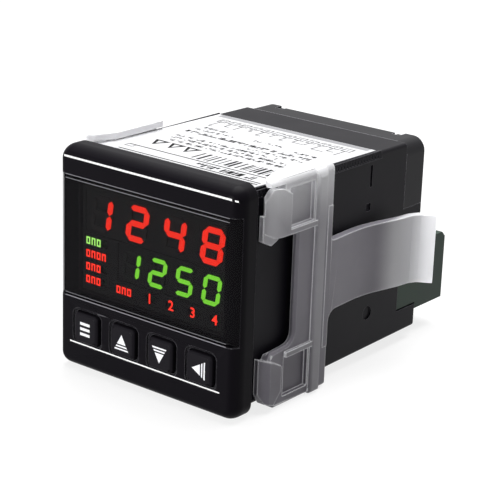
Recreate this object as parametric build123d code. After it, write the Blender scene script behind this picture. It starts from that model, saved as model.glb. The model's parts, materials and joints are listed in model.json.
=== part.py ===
from build123d import *
from math import atan2, degrees, radians, tan
import os

# Panel temperature controller with a slide-on mounting clamp and a plug-in terminal block.
# Millimetres. +X is to the right seen from the front, +Y goes into the panel, +Z is up.
# The origin is the centre of the bezel's rear face, which seats on the panel.

# The square cut-out in the panel sizes the sleeve that goes through it and the bezel that covers it.
cutout_size = 45.5
cutout_gap = 0.1
collar_half = cutout_size / 2 - cutout_gap
collar_step = 0.25
housing_half = collar_half - collar_step
housing_wall = 1.6
housing_length = 60.0
bezel_fit = 0.1

# Cuts that have to clear the whole part reach this far.
far = cutout_size

# Bezel
bezel_cover = 1.25
bezel_size = cutout_size + 2 * bezel_cover
bezel_depth = 5.6
bezel_corner = 3.0
edge_round_in = 2.1
edge_round_back = 3.2
edge_round_tight = 1.4
front_wall = 3.2
key_wall = 1.6
tube_half = housing_half - housing_wall - bezel_fit
tube_wall = 1.3
bezel_inside_half = tube_half - tube_wall
tube_corner = 0.9
tube_depth = 6.0
socket_depth = 2.0
nib_height = 0.4
nib_length = 8.0
nib_place = 3.4
nib_z = tube_half - 9.7
post_half = 0.8

# The display's sizes are for an opening 19.4 mm to each side and grow with it.
face_scale = bezel_inside_half / 19.4

# Window over the display, flush in the bezel over its full width
window_low = -8.0 * face_scale
window_high = 17.9 * face_scale
window_thickness = 1.6
window_bevel = 0.55
window_gap = 0.12
window_ledge = 1.1

# Keys
key_names = ["key_program", "key_up", "key_down", "key_back"]
key_size = 6.5
key_corner = 1.0
key_pitch = 10.25 * face_scale
key_row_z = -14.25 * face_scale
key_proud = 0.7
key_edge_bevel = 0.45
key_gap = 0.25
key_surround = 0.8
key_surround_depth = 0.45
key_flange = 0.6
key_flange_depth = 0.6
key_flange_gap = 0.05
key_stem_half = 1.3
key_travel = 0.5
key_stop_gap = 0.1
chamber_half_height = 4.9
switch_half = 3.0
switch_height = 3.5
plunger_half = 1.4
plunger_height = 0.8

# Boards
board_thickness = 1.6
display_board_half = bezel_inside_half - 0.2
display_board_front = 2.4

# Digit blocks. The right edge and the top give the place of the last digit.
display_face = -3.0
upper_digit = dict(height=7.65, width=5.5, stroke=1.15, pitch=9.8, right=18.6, top=14.2)
lower_digit = dict(height=6.15, width=4.4, stroke=0.8, pitch=7.05, right=18.0, top=4.4)
readings = ("1248", "1250")
digit_slant = 8.0
segment_gap = 0.22
segment_depth = 0.3
block_margin_side = 1.0
block_margin_top = 0.8

# Lamps behind the window
lamp_column_x = -15.4 * face_scale
lamp_column_rows = [z * face_scale for z in (4.0, 1.2, -1.6, -4.4)]
lamp_column_width = 5.6 * face_scale
lamp_height = 1.35 * face_scale
lamp_row_z = -4.6 * face_scale
output_lamp_x = -7.7 * face_scale
output_lamp_width = 3.9 * face_scale
numbered_lamp_places = [x * face_scale for x in (-0.6, 5.1, 10.8, 16.5)]
numbered_lamp_width = 2.6 * face_scale
shield_thickness = 0.9
shield_gap = 0.12

# Housing sleeve, drawn in a little towards the rear
taper_width = 0.2
taper_height = 0.7
collar_corner = 1.5
collar_length = 0.9
collar_gap = 0.05
groove_x = housing_half - 0.9
rail_low = housing_half - 2.0
rail_top = housing_half - 0.35
rail_tip = housing_half - 0.3
rail_groove = 0.35
rail_groove_depth = 0.7
rail_end = housing_length - 16.5
tooth_pitch = 1.0
tooth_depth = 0.4
mark_depth = 0.35

# Rear cover, a hood over the upper rear of the sleeve with a rear wall below it
hood_depth = 7.0
hood_low = housing_half - 15.4
hood_corner = 3.0
cover_wall = 1.6
cover_inset = 0.4
cover_gap = 0.1
recess_half = housing_half - 7.4
recess_depth = 1.1
recess_height = 1.0
latch_notch = 2.1
latch_notch_depth = 2.4

# Label on the top
label_half = housing_half - 1.2
label_front = 1.3
label_rear = housing_length - 17.4
label_thickness = 0.12

# Main and power boards
main_board_half = housing_half - housing_wall - 0.8
main_board_front = 8.0
main_board_rear = housing_length - 2.6
main_board_top = -housing_half + 6.0
power_board_half = main_board_half - 0.2
power_board_rear = housing_length - 8.0
power_board_top = main_board_top + 20.0
guide_rib = 0.8
guide_gap = 0.1
guide_front = 9.0
guide_rear = power_board_rear - 2.0

relay_size = (7.2, 20.4, 15.2)
relay_places = [main_board_half - 14.5, main_board_half - 6.0]
relay_y = housing_length - 26.0

# Links between the boards
link_pins = 8
link_pitch = 2.54
link_pin = 0.64
link_strip = 2.5
link_y = housing_length - 12.2

# Terminal block
ways = 12
header_half = housing_half - 0.4
way_margin = 1.0
way_pitch = 2 * (header_half - way_margin) / ways
header_front = housing_length - 6.8
header_rear = housing_length + 1.4
header_low = main_board_top + 0.2
header_high = header_low + 13.6
header_wall = 1.1
header_floor = 1.6
header_gap = 0.3
pin_size = 1.0
pin_z = header_low + 6.8
pin_reach = 5.6
plug_half = header_half - 0.8
plug_front = header_rear + 0.2
plug_rear = plug_front + 11.0
plug_low = header_low - 2.1
plug_high = header_high + 0.1
plug_nose_gap = 0.2
plug_nose_depth = 6.0
entry_size = 2.6
entry_z = pin_z - 4.2
entry_depth = 8.0
screw_z = pin_z + 2.4
screw_radius = 1.25
screw_well_gap = 0.05
screw_sunk = 1.0
screw_length = 5.0
screw_slot = 0.5

# Mounting clamp
clamp_gap = 0.35
clamp_wall = 2.05
clamp_roof = 1.4
clamp_bottom = 1.2
roof_inner = housing_half - 1.8
roof_front = 2.6
shoulder_round = 1.7
heel_round = 0.8
band_front = 12.0
band_rear = 23.3
band_wall = 1.3
rib_front = 17.3
rib_rear = 20.6
rib_height = 0.8
arm_front = 7.4
arm_low = housing_half - 10.1
recess_wall = 1.15
recess_front = 8.9
recess_rear = 16.9
upper_recess = (arm_low + 1.2, arm_low + 9.4)
lower_recess = (-housing_half + 0.4, -housing_half + 8.8)
shelf_proud = 0.6
shelf_height = 1.1
lower_arm_top = -housing_half + 11.2
lower_arm_front = 3.7
finger_top = housing_half - 0.05
finger_rear = 8.9
panel_space = 2.05
foot_wall = 1.0
front_bevel = 0.55
lever_half_height = 7.6
lever_thickness = 1.7
lever_end = 53.4
lever_flare = 6.6
lever_root_top = 0.8
lever_root_bottom = 2.5
pawl_gap = 0.16
pawl_front = 9.0
pawl_teeth = 3


def front_plane(y):
    return Plane(origin=(0, y, 0), x_dir=(1, 0, 0), z_dir=(0, -1, 0))


def slab(outline, y_start, y_end):
    """Carry an outline drawn in X and Z from one depth to another."""
    return extrude(front_plane(y_start) * outline, amount=y_end - y_start, dir=(0, 1, 0))


def side_slab(outline, x_start, x_end):
    """Carry an outline drawn in Y and Z from one X to another."""
    return extrude(Plane.YZ.offset(x_start) * outline, amount=x_end - x_start, dir=(1, 0, 0))


def plan_slab(outline, z_start, z_end):
    """Carry an outline drawn in X and Y from one height to another."""
    return extrude(Plane.XY.offset(z_start) * outline, amount=z_end - z_start, dir=(0, 0, 1))


def square(half):
    return Rectangle(2 * half, 2 * half)


def rounded_square(half, radius):
    return RectangleRounded(2 * half, 2 * half, radius)


def block(x_low, x_high, y_low, y_high, z_low, z_high):
    centre = Pos((x_low + x_high) / 2, (y_low + y_high) / 2, (z_low + z_high) / 2)
    return centre * Box(x_high - x_low, y_high - y_low, z_high - z_low)


def both_sides(shape):
    return [shape, mirror(shape, about=Plane.YZ)]


def write(name, shapes):
    solids = []
    for shape in shapes if isinstance(shapes, list) else [shapes]:
        solids.extend(shape.solids())
    whole = solids[0] if len(solids) == 1 else Compound(children=solids)
    whole.label = name
    export_step(whole, "parts/" + name + ".step")


def half_width(y):
    return housing_half - taper_width * y / housing_length


def half_height(y):
    return housing_half - taper_height * y / housing_length


def sleeve(y_start, y_end, grow, corner):
    """The housing's tapered outline, grown or shrunk by a wall."""
    ends = []
    for y in (y_start, y_end):
        outline = RectangleRounded(2 * (half_width(y) + grow), 2 * (half_height(y) + grow), corner)
        ends.append((front_plane(y) * outline).face())
    return loft(ends, ruled=True)


def key_places():
    middle = (len(key_names) - 1) / 2
    return [(number - middle) * key_pitch for number in range(len(key_names))]


# Bezel and window

def oval_quarter(flat, start):
    """Two tangent arcs: a flat one up the side, then a tight one onto the front."""
    tight = edge_round_tight
    ahead = edge_round_back - tight
    wide = (ahead**2 + edge_round_in**2 - tight**2) / (2 * (edge_round_in - tight))
    turn = degrees(atan2(ahead, wide - edge_round_in))
    side = CenterArc((flat + edge_round_in - wide, start), wide, -turn, turn)
    front = CenterArc((flat, start - ahead), tight, -90, 90 - turn)
    return front + side


def bezel_shape():
    """A square block whose front edges turn in along an oval, round the corners too."""
    half = bezel_size / 2
    flat = half - edge_round_in
    start = edge_round_back - bezel_depth
    clear = 1.0
    arc = oval_quarter(flat, start)
    around = Polyline(
        (half, start),
        (half + clear, start),
        (half + clear, -bezel_depth - clear),
        (flat, -bezel_depth - clear),
        (flat, -bezel_depth),
    )
    outside = make_face(around + arc)
    corner = half - bezel_corner
    cutter = plan_slab(outside, -corner, corner)
    turn_axis = Axis((corner, 0, corner), (0, -1, 0))
    cutter += revolve(Plane.XY.offset(corner) * outside, turn_axis, 90)
    shape = slab(rounded_square(half, bezel_corner), -bezel_depth, 0)
    for quarter in range(4):
        shape -= Rot(0, 90 * quarter, 0) * cutter
    return shape


def window_band(gap):
    low = window_low - gap
    high = window_high + gap
    return block(-bezel_size, bezel_size, -2 * bezel_depth, window_back(), low, high)


def window_back():
    return -bezel_depth + window_thickness


def make_window(body):
    window = body & window_band(0)
    for edge, turn in ((window_high, 1), (window_low, -1)):
        bevel = Polygon(
            (-bezel_depth - 1, edge + turn),
            (-bezel_depth - 1, edge - turn * window_bevel - turn),
            (-bezel_depth + window_bevel, edge),
            (-bezel_depth + window_bevel, edge + turn),
            align=None,
        )
        window -= side_slab(bevel, -bezel_size, bezel_size)
    return window


def make_bezel(body):
    bezel = body - window_band(window_gap)
    inside = square(bezel_inside_half)
    wall_back = -bezel_depth + front_wall
    display_low = window_low + window_ledge
    display_high = window_high - window_ledge
    bezel -= block(-bezel_inside_half, bezel_inside_half, -bezel_depth, wall_back, display_low, display_high)
    chamber_low = key_row_z - chamber_half_height
    chamber_high = key_row_z + chamber_half_height
    key_back = -bezel_depth + key_wall
    bezel -= block(-bezel_inside_half, bezel_inside_half, key_back, wall_back, chamber_low, chamber_high)
    opening = RectangleRounded(key_size + 2 * key_gap, key_size + 2 * key_gap, key_corner + key_gap)
    surround_size = key_size + 2 * key_surround
    surround = RectangleRounded(surround_size, surround_size, key_corner + key_surround)
    for x in key_places():
        bezel -= slab(Pos(x, key_row_z) * opening, -bezel_depth - 1, wall_back)
        bezel -= slab(Pos(x, key_row_z) * surround, -bezel_depth - 1, -bezel_depth + key_surround_depth)
    bezel -= slab(inside, wall_back, 0)
    outside = rounded_square(tube_half, tube_corner)
    tube = outside - inside
    socket = rounded_square(collar_half + collar_gap, collar_corner + collar_gap) - outside
    bezel -= slab(socket, -socket_depth, 0)
    bezel += slab(tube, -socket_depth, tube_depth)
    for x in (-1, 1):
        for z in (-1, 1):
            bezel += make_nib(x, z * nib_z)
    for x, z in board_posts():
        start = (key_back if z < 0 else wall_back) - 0.5
        bezel += slab(Pos(x, z) * square(post_half), start, display_board_front)
    return bezel


def make_nib(side, z):
    """A wedge on the tube that snaps into the sleeve's pocket."""
    reach = tube_half + nib_height
    wedge = Polygon(
        (tube_half - 0.3, nib_place),
        (reach, nib_place),
        (tube_half, nib_place + 1.6),
        (tube_half - 0.3, nib_place + 1.6),
        align=None,
    )
    nib = plan_slab(wedge, z - nib_length / 2, z + nib_length / 2)
    return nib if side > 0 else mirror(nib, about=Plane.YZ)


def board_posts():
    corner = bezel_inside_half - 0.8
    return [(-corner, corner), (corner, corner), (-key_pitch, -corner + 0.4), (key_pitch, -corner + 0.4)]


# Keys and their switches

def make_key(x):
    """A soft cap, with a flange behind the wall and a stem towards its switch."""
    top = -bezel_depth - key_proud
    flange_front = -bezel_depth + key_wall + key_flange_gap
    cap = slab(RectangleRounded(key_size, key_size, key_corner), top, flange_front)
    cap = chamfer(cap.faces().sort_by(Axis.Y)[0].edges(), key_edge_bevel)
    flange_size = key_size + 2 * key_flange
    flange_back = flange_front + key_flange_depth
    key = cap + slab(Rectangle(flange_size, flange_size), flange_front, flange_back)
    key += slab(square(key_stem_half), flange_back, key_stem_end())
    return Pos(x, 0, key_row_z) * key


def key_stem_end():
    return switch_top() - key_travel - key_stop_gap


def switch_top():
    return display_board_front - switch_height - plunger_height


def make_switch(x):
    """A tact switch: a square can with a square plunger."""
    can_front = display_board_front - switch_height
    can = slab(square(switch_half), can_front, display_board_front)
    return Pos(x, 0, key_row_z) * (can + slab(square(plunger_half), switch_top(), can_front))


# Digit blocks

lit_segments = {
    "0": "abcdef",
    "1": "bc",
    "2": "abged",
    "3": "abgcd",
    "4": "fgbc",
    "5": "afgcd",
    "6": "afgedc",
    "7": "abc",
    "8": "abcdefg",
    "9": "abcdfg",
}


def segment_bar(length, stroke):
    """A bar with pointed ends."""
    half = length / 2
    point = stroke / 2
    return Polygon(
        (-half, 0),
        (-half + point, point),
        (half - point, point),
        (half, 0),
        (half - point, -point),
        (-half + point, -point),
        align=None,
    )


def digit_segments(shape, right, top):
    """The seven bars of one digit by letter, leaning to the right."""
    stroke = shape["stroke"]
    across = shape["width"] - stroke
    half_up = (shape["height"] - stroke) / 2
    lean = tan(radians(digit_slant))
    places = {
        "a": (0, half_up, 0),
        "g": (0, 0, 0),
        "d": (0, -half_up, 0),
        "b": (across / 2, half_up / 2, 90),
        "c": (across / 2, -half_up / 2, 90),
        "f": (-across / 2, half_up / 2, 90),
        "e": (-across / 2, -half_up / 2, 90),
    }
    centre_x = right - shape["width"] / 2 - shape["height"] / 2 * lean
    centre_z = top - shape["height"] / 2
    bars = {}
    for letter, (x, z, turn) in places.items():
        length = (half_up if turn else across) - segment_gap
        bar = Pos(x + z * lean, z) * Rot(0, 0, turn - (digit_slant if turn else 0)) * segment_bar(length, stroke)
        bars[letter] = Pos(centre_x, centre_z) * bar
    return bars


def display_parts(design, reading):
    """The lit bars, the dark bars and the block that holds them."""
    shape = {name: value * face_scale for name, value in design.items()}
    lit = []
    dark = []
    for place, figure in enumerate(reversed(reading)):
        bars = digit_segments(shape, shape["right"] - place * shape["pitch"], shape["top"])
        for letter, bar in bars.items():
            solid = slab(bar, display_face, display_face + segment_depth)
            (lit if letter in lit_segments[figure] else dark).append(solid)
    cell = shape["width"] + shape["height"] * tan(radians(digit_slant))
    left = shape["right"] - (len(reading) - 1) * shape["pitch"] - cell
    low = shape["top"] - shape["height"] - block_margin_top
    high = shape["top"] + block_margin_top
    left_side = max(left - block_margin_side, -bezel_inside_half + 0.6)
    right_side = min(shape["right"] + block_margin_side, bezel_inside_half - 0.4)
    front = display_face + segment_depth
    body = block(left_side, right_side, front, display_board_front, low, high)
    return lit, dark, body, (left_side, right_side, low, high)


# Lamps and light shield

def lamp(x, z, width):
    return slab(Pos(x, z) * Rectangle(width, lamp_height), display_face, display_board_front)


def lamp_places():
    column = [(lamp_column_x, z, lamp_column_width) for z in lamp_column_rows]
    numbered = [(x, lamp_row_z, numbered_lamp_width) for x in numbered_lamp_places]
    output = [(output_lamp_x, lamp_row_z, output_lamp_width)]
    return column, output, numbered


def make_shield(boxes):
    """A black plate behind the window with an opening for each block and lamp."""
    side = bezel_inside_half - shield_gap
    low = window_low + window_ledge + shield_gap
    high = window_high - window_ledge - shield_gap
    front = display_face + 0.1
    shield = block(-side, side, front, front + shield_thickness, low, high)
    for left, right, bottom, top in boxes:
        grow = shield_gap
        shield -= block(left - grow, right + grow, front - 1, 0, bottom - grow, top + grow)
    column, output, numbered = lamp_places()
    for x, z, width in column + output + numbered:
        grow = 2 * shield_gap
        hole = Rectangle(width + grow, lamp_height + grow)
        shield -= slab(Pos(x, z) * hole, front - 1, front + shield_thickness + 1)
    for x in (-1, 1):
        foot_x = x * (side - 0.5)
        shield += slab(Pos(foot_x, low + 0.5) * Rectangle(0.8, 0.8), front, display_board_front)
    return shield


# Housing, cover and label

def toothed_rail():
    """The ridge along a top edge, with sloping teeth that point to the front."""
    foot = rail_low
    ridge = Polygon(
        (groove_x - 0.2, foot),
        (housing_half, foot),
        (rail_tip, rail_top),
        (groove_x + rail_groove, rail_top),
        (groove_x + rail_groove * 0.7, rail_top - rail_groove_depth),
        (groove_x - 0.2, rail_top - rail_groove_depth),
        align=None,
    )
    rail = slab(ridge, collar_length, rail_end)
    comb = [(housing_half + 1, collar_length), (housing_half + 1, rail_end)]
    count = int((rail_end - collar_length) / tooth_pitch) - 1
    for number in range(count, 0, -1):
        y = collar_length + number * tooth_pitch
        comb.append((housing_half + 0.05, y + tooth_pitch * 0.5))
        comb.append((housing_half - tooth_depth, y))
        comb.append((housing_half + 0.05, y - tooth_pitch * 0.1))
    cutter = plan_slab(Polygon(*comb, align=None), foot + 0.25, rail_top + 1)
    return rail - cutter


def make_housing():
    housing = sleeve(0, housing_length, 0, 0.8)
    collar = rounded_square(collar_half, collar_corner)
    housing += slab(collar, -socket_depth + bezel_fit, collar_length)
    hollow = sleeve(-socket_depth - 1, housing_length + 1, -housing_wall, 0.8)
    housing -= hollow
    housing -= slab(square(tube_half + bezel_fit), -socket_depth, 0)
    for corner in both_sides(block(groove_x, far, collar_length, rail_end, rail_low, far)):
        housing -= corner
    for rail in both_sides(toothed_rail()):
        housing += rail
    housing -= block(-far, far, housing_length - hood_depth, housing_length + 1, hood_low, far)
    inside = half_width(housing_length) - housing_wall
    sill_top = header_low - header_gap
    sill_rear = housing_length - cover_inset
    floor = -half_height(housing_length) + housing_wall
    housing += block(-inside - 0.3, inside + 0.3, sill_rear - cover_wall, sill_rear, floor - 0.3, sill_top)
    start = header_front - header_gap
    for notch in both_sides(block(header_half - 3, far, start, housing_length + 1, sill_top, header_high + header_gap)):
        housing -= notch
    pocket_x = tube_half + bezel_fit
    pocket_z = nib_z + nib_length / 2 + 1
    for pocket in both_sides(block(0, pocket_x + nib_height, nib_place - 0.2, nib_place + 2, -pocket_z, pocket_z)):
        housing -= pocket
    for mark in side_marks():
        housing -= mark
    for rib in guide_ribs():
        housing += rib
    return housing


def side_marks():
    """A slit, a small notch and a round boss hole sunk in each side."""
    side = half_width(housing_length * 2 / 3) - mark_depth
    slit = RectangleRounded(0.8, 4.8, 0.3)
    notch = Rectangle(1.6, 1.6)
    dimple = Circle(1.5)
    marks = []
    rear = housing_length - 20
    top = housing_half
    for outline, y, z in ((slit, rear, top - 5.2), (notch, rear - 0.5, top - 11.9), (dimple, rear + 1.3, 8.8 - top)):
        marks.extend(both_sides(side_slab(Pos(y, z) * outline, side, side + 5)))
    return marks


def guide_ribs():
    """Pairs of ribs inside the sides, each pair holding a board's edge."""
    ribs = []
    for board_top, half in ((main_board_top, main_board_half), (power_board_top, power_board_half)):
        inner = half - 0.9
        outer = housing_half - housing_wall + 0.3
        over = board_top + guide_gap
        under = board_top - board_thickness - guide_gap
        for low in (over, under - guide_rib):
            ribs.extend(both_sides(block(inner, outer, guide_front, guide_rear, low, low + guide_rib)))
    return ribs


def make_cover():
    """A hood whose skirts replace the sleeve's upper rear, with the rear wall inside."""
    start = housing_length - hood_depth
    hood = sleeve(start + cover_gap, housing_length, 0, hood_corner)
    hood -= sleeve(start - 1, housing_length - cover_wall, -housing_wall, hood_corner - housing_wall)
    hood -= block(-far, far, 0, housing_length + 1, -far, hood_low + cover_gap)
    plate_half = half_width(housing_length) - housing_wall - cover_gap
    plate_low = header_high + header_gap
    plate_rear = housing_length - cover_inset
    cover = hood + block(-plate_half, plate_half, plate_rear - cover_wall, plate_rear, plate_low, hood_low + 1)
    top = half_height(housing_length)
    rear = housing_length
    cover -= block(-recess_half, recess_half, rear - recess_depth, rear + 1, top - recess_height, top + 1)
    latch = block(recess_half, recess_half + latch_notch, rear - latch_notch_depth, rear + 1, top - 0.5, far)
    for notch in both_sides(latch):
        cover -= notch
    return cover


def make_label():
    skin = sleeve(0, housing_length, label_thickness, 0.8) - sleeve(-1, housing_length + 1, 0, 0.8)
    return skin & block(-label_half, label_half, label_front, label_rear, 0, far)


# Boards and what they carry

def make_display_board():
    board = slab(Rectangle(2 * display_board_half, 2 * display_board_half), 0, board_thickness)
    return Pos(0, display_board_front, 0) * board


def horizontal_board(half, y_front, y_rear, top):
    return block(-half, half, y_front, y_rear, top - board_thickness, top)


def make_relay(x, y):
    """A sealed relay with a chamfered top."""
    width, length, height = relay_size
    case = Pos(0, 0, height / 2) * Box(width, length, height)
    case = chamfer(case.faces().sort_by(Axis.Z)[-1].edges(), 0.5)
    return Pos(x, y, main_board_top) * case


def make_core():
    """Two E-shaped halves that close round the bobbin."""
    core = Box(16, 14, 13) - (Box(11.6, 20, 9.4) - Box(4.4, 20, 9.4))
    return Pos(core_place()) * core


def core_place():
    return (-9.5, 22.0, main_board_top + 6.6)


def make_coil():
    """A bobbin wound between two cheeks, wrapped round the core's middle limb."""
    winding = RectangleRounded(10.8, 19, 3.0) - Rectangle(4.8, 14.4)
    cheek = Rectangle(11.2, 20.4) - Rectangle(4.8, 14.4)
    coil = Pos(0, 0, -4.5) * extrude(winding, amount=9.0)
    coil += Pos(0, 0, -4.5) * extrude(cheek, amount=0.8)
    coil += Pos(0, 0, 3.7) * extrude(cheek, amount=0.8)
    return Pos(core_place()) * coil


def make_capacitor(x, y, radius, height, base):
    """A can with a crimped top."""
    can = Pos(0, 0, height / 2) * Cylinder(radius, height)
    can = chamfer(can.faces().sort_by(Axis.Z)[-1].edges(), 0.5)
    return Pos(x, y, base) * can


def make_chip():
    body = chamfer(Box(10, 10, 1.4).edges().filter_by(Axis.Z), 0.5)
    leads = []
    for turn in range(4):
        for number in range(6):
            lead = Pos((number - 2.5) * 1.4, 5.4, -0.5) * Box(0.6, 1.4, 0.3)
            leads.append(Rot(0, 0, 90 * turn) * lead)
    chip = body + leads
    return Pos(0, 24, power_board_top + 0.7) * chip


def make_board_link():
    """A row of square pins in a strip, from the main board up to the power board."""
    low = main_board_top
    high = power_board_top - board_thickness
    front = link_y - link_strip / 2
    rear = link_y + link_strip / 2
    side = link_pins * link_pitch / 2
    strip = block(-side, side, front, rear, low, low + link_strip)
    strip += block(-side, side, front, rear, high - link_strip, high)
    half = link_pin / 2
    for number in range(link_pins):
        x = (number - (link_pins - 1) / 2) * link_pitch
        strip += block(x - half, x + half, link_y - half, link_y + half, low, high)
    return strip


def make_display_link():
    """The connector between the display board's back and the power board."""
    front = display_board_front + board_thickness
    base = power_board_top
    side = link_pins * link_pitch / 2
    body_front = main_board_front - guide_gap
    link = block(-side, side, front, body_front, base - 1, base + link_strip)
    link += block(-side, side, body_front, body_front + 7, base, base + link_strip)
    for number in range(link_pins):
        x = (number - (link_pins - 1) / 2) * link_pitch
        link -= block(x - link_pin, x + link_pin, body_front + 4, body_front + 8, base + 0.6, base + link_strip - 0.6)
    return link


# Terminal block

def way_places():
    return [(number - (ways - 1) / 2) * way_pitch for number in range(ways)]


def make_header():
    """A shroud open to the rear, with a polarising rib inside its roof."""
    shell = block(-header_half, header_half, header_front, header_rear, header_low, header_high)
    inner_y = header_front + header_floor
    cavity = block(
        -header_half + header_wall,
        header_half - header_wall,
        inner_y,
        header_rear + 1,
        header_low + header_wall,
        header_high - header_wall,
    )
    shell -= cavity
    for x in way_places():
        shell -= block(
            x - pin_size / 2, x + pin_size / 2, 0, inner_y + 1, pin_z - pin_size / 2, pin_z + pin_size / 2
        )
    return shell


def make_pin(x):
    """A square pin, bent down behind the header to the main board."""
    half = pin_size / 2
    tail = header_front - 1.4
    pin = block(x - half, x + half, tail - half, header_front + header_floor + pin_reach, pin_z - half, pin_z + half)
    return pin + block(x - half, x + half, tail - half, tail + half, main_board_top, pin_z)


def make_plug():
    """The plug's nose fits the shroud; its rear face has wire entries under screw wells."""
    plug = block(-plug_half, plug_half, plug_front, plug_rear, plug_low, plug_high)
    top_rear = plug.edges().filter_by(Axis.X).sort_by(lambda edge: edge.center().Y + edge.center().Z)[-1]
    plug = chamfer(top_rear, 1.2)
    inset = header_wall + plug_nose_gap
    nose_low = header_low + inset
    nose_high = header_high - inset
    nose_half = header_half - inset
    nose_front = header_rear - plug_nose_depth
    plug += block(-nose_half, nose_half, nose_front, plug_front + 1, nose_low, nose_high)
    for x in way_places():
        half = pin_size / 2 + 0.2
        plug -= block(x - half, x + half, 0, nose_front + plug_nose_depth, pin_z - half, pin_z + half)
        entry = Rectangle(entry_size, entry_size + 1.0)
        plug -= slab(Pos(x, entry_z) * entry, plug_rear - entry_depth, plug_rear + 1)
        well = square(screw_radius + screw_well_gap)
        plug -= slab(Pos(x, screw_z) * well, plug_rear - screw_sunk - screw_length, plug_rear + 1)
    for x in way_places()[1:]:
        groove = x - way_pitch / 2
        plug -= block(groove - 0.15, groove + 0.15, plug_rear - 0.4, plug_rear + 1, plug_low - 1, plug_high + 1)
    return plug


def make_screw(x):
    """A slotted screw sunk in its well."""
    top = plug_rear - screw_sunk
    screw = slab(Circle(screw_radius), top - screw_length, top)
    reach = screw_radius - 0.2
    screw -= block(-reach, reach, top - 0.7, top + 1, -screw_slot / 2, screw_slot / 2)
    return Pos(x, 0, screw_z) * screw


def make_wire_clamp(x):
    """A square cage round the wire in its entry."""
    wall = 0.35
    outer = Rectangle(entry_size - 0.1, entry_size + 0.9)
    inner = Rectangle(entry_size - 0.1 - 2 * wall, entry_size + 0.9 - 2 * wall)
    start = plug_rear - entry_depth
    return slab(Pos(x, entry_z) * (outer - inner), start, start + entry_depth - 1.6)


# Mounting clamp. The right half is drawn and mirrored, and a bridge joins them below.

def clamp_inner():
    return housing_half + clamp_gap


def clamp_outer():
    return clamp_inner() + clamp_wall


def clamp_top():
    return clamp_inner() + clamp_roof


def clamp_low():
    return -clamp_inner() - clamp_bottom


def span(y_low, y_high, z_low, z_high):
    centre = Pos((y_low + y_high) / 2, (z_low + z_high) / 2)
    return centre * Rectangle(y_high - y_low, z_high - z_low)


def rounded_face(points, radius):
    """A closed outline with every corner rounded."""
    outline = make_face(Polyline(*points, close=True))
    return fillet(outline.vertices(), radius)


def clamp_section(grow):
    """The outline of one side seen from the front, rounded at its shoulder and its heel."""
    left = roof_inner
    right = clamp_outer() + grow
    centre = Pos((left + right) / 2, (clamp_top() + clamp_low()) / 2)
    section = centre * Rectangle(right - left, clamp_top() - clamp_low())
    outer = section.vertices().sort_by(Axis.X)[-2:].sort_by(Axis.Y)
    section = fillet(outer[1], shoulder_round + grow)
    outer = section.vertices().sort_by(Axis.Y)[:2].sort_by(Axis.X)
    return fillet(outer[1], heel_round)


def clamp_roof_lip():
    """The lip over the housing's top edge, narrowing towards its front."""
    outer = clamp_outer()
    outline = [
        (roof_inner, band_rear),
        (roof_inner, roof_front + 5.9),
        (clamp_inner() - 0.35, roof_front + 1.4),
        (outer - 1.0, roof_front),
        (outer, roof_front + 0.8),
        (outer, band_rear),
    ]
    return plan_slab(rounded_face(outline, 0.6), clamp_inner(), clamp_top())


def clamp_side_wall():
    """The upright band and both arms, seen from the side as one outline."""
    points = [
        (band_rear, clamp_top()),
        (arm_front, clamp_top()),
        (arm_front, arm_low),
        (band_front, arm_low),
        (band_front, lower_arm_top),
        (5.0, lower_arm_top - 0.5),
        (lower_arm_front, lower_arm_top - 2.3),
        (lower_arm_front, clamp_low() + 3.0),
        (6.4, clamp_low()),
        (band_rear, clamp_low()),
    ]
    outline = make_face(Polyline(*points, close=True))
    inner_corner = outline.vertices().sort_by_distance((band_front, lower_arm_top, 0))[0]
    outline = fillet(inner_corner, 2.4)
    front = outline.vertices().filter_by(lambda v: v.X < band_front - 3 and v.Y < 0)
    outline = fillet(front, 1.1)
    wall = side_slab(outline, clamp_inner(), clamp_outer())
    relief_outer = clamp_outer() - band_wall
    relief = block(0, relief_outer, 0, band_rear + 1, lower_arm_top - 1, arm_low + 1)
    wall -= relief
    front_edge = wall.edges().filter_by(Axis.Z).filter_by(
        lambda e: abs(e.center().Y - band_front) < 0.01 and e.center().X > relief_outer + 0.1
    )
    return chamfer(front_edge, front_bevel)


def clamp_recesses():
    """The hollows pressed into the outer face of the two arms."""
    floor = clamp_inner() + recess_wall
    hollows = []
    for low, high in (upper_recess, lower_recess):
        outline = span(recess_front, recess_rear, low, high)
        hollows.append(side_slab(outline, floor, clamp_outer() + 5))
    return hollows


def clamp_rib():
    """A rounded ridge down the band's outer face."""
    width = rib_rear - rib_front
    ridge = Pos(clamp_outer(), (rib_front + rib_rear) / 2) * RectangleRounded(2 * rib_height, width, 0.75)
    return plan_slab(ridge, clamp_low(), clamp_top()) & slab(clamp_section(rib_height), 0, band_rear)


def clamp_shelves():
    """A raised shelf under the upper hollow and over the lower one."""
    shelves = []
    for low in (arm_low, lower_recess[1] + 0.1):
        outline = span(recess_front, rib_front + 0.5, low, low + shelf_height)
        shelves.append(side_slab(outline, clamp_outer() - 0.5, clamp_outer() + shelf_proud))
    return shelves


def clamp_pawl():
    """A wedge inside the roof with teeth that face the rail, just clear of its tips."""
    inner = clamp_inner()
    rear = pawl_front + pawl_teeth * tooth_pitch
    section = Polygon(
        (inner + 0.2, rail_low + 0.1),
        (inner + 0.2, inner + 0.2),
        (rail_tip + pawl_gap, inner + 0.2),
        (rail_tip + pawl_gap, rail_top),
        (housing_half + pawl_gap, rail_low + 0.1),
        align=None,
    )
    pawl = slab(section, pawl_front, rear)
    for number in range(pawl_teeth):
        y = pawl_front + number * tooth_pitch
        edge = rail_tip + pawl_gap - 0.1
        notch = Polygon((edge, y), (edge + tooth_depth + 0.1, y), (edge, y + tooth_pitch * 0.8), align=None)
        pawl -= plan_slab(notch, rail_low, inner)
    return pawl


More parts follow.
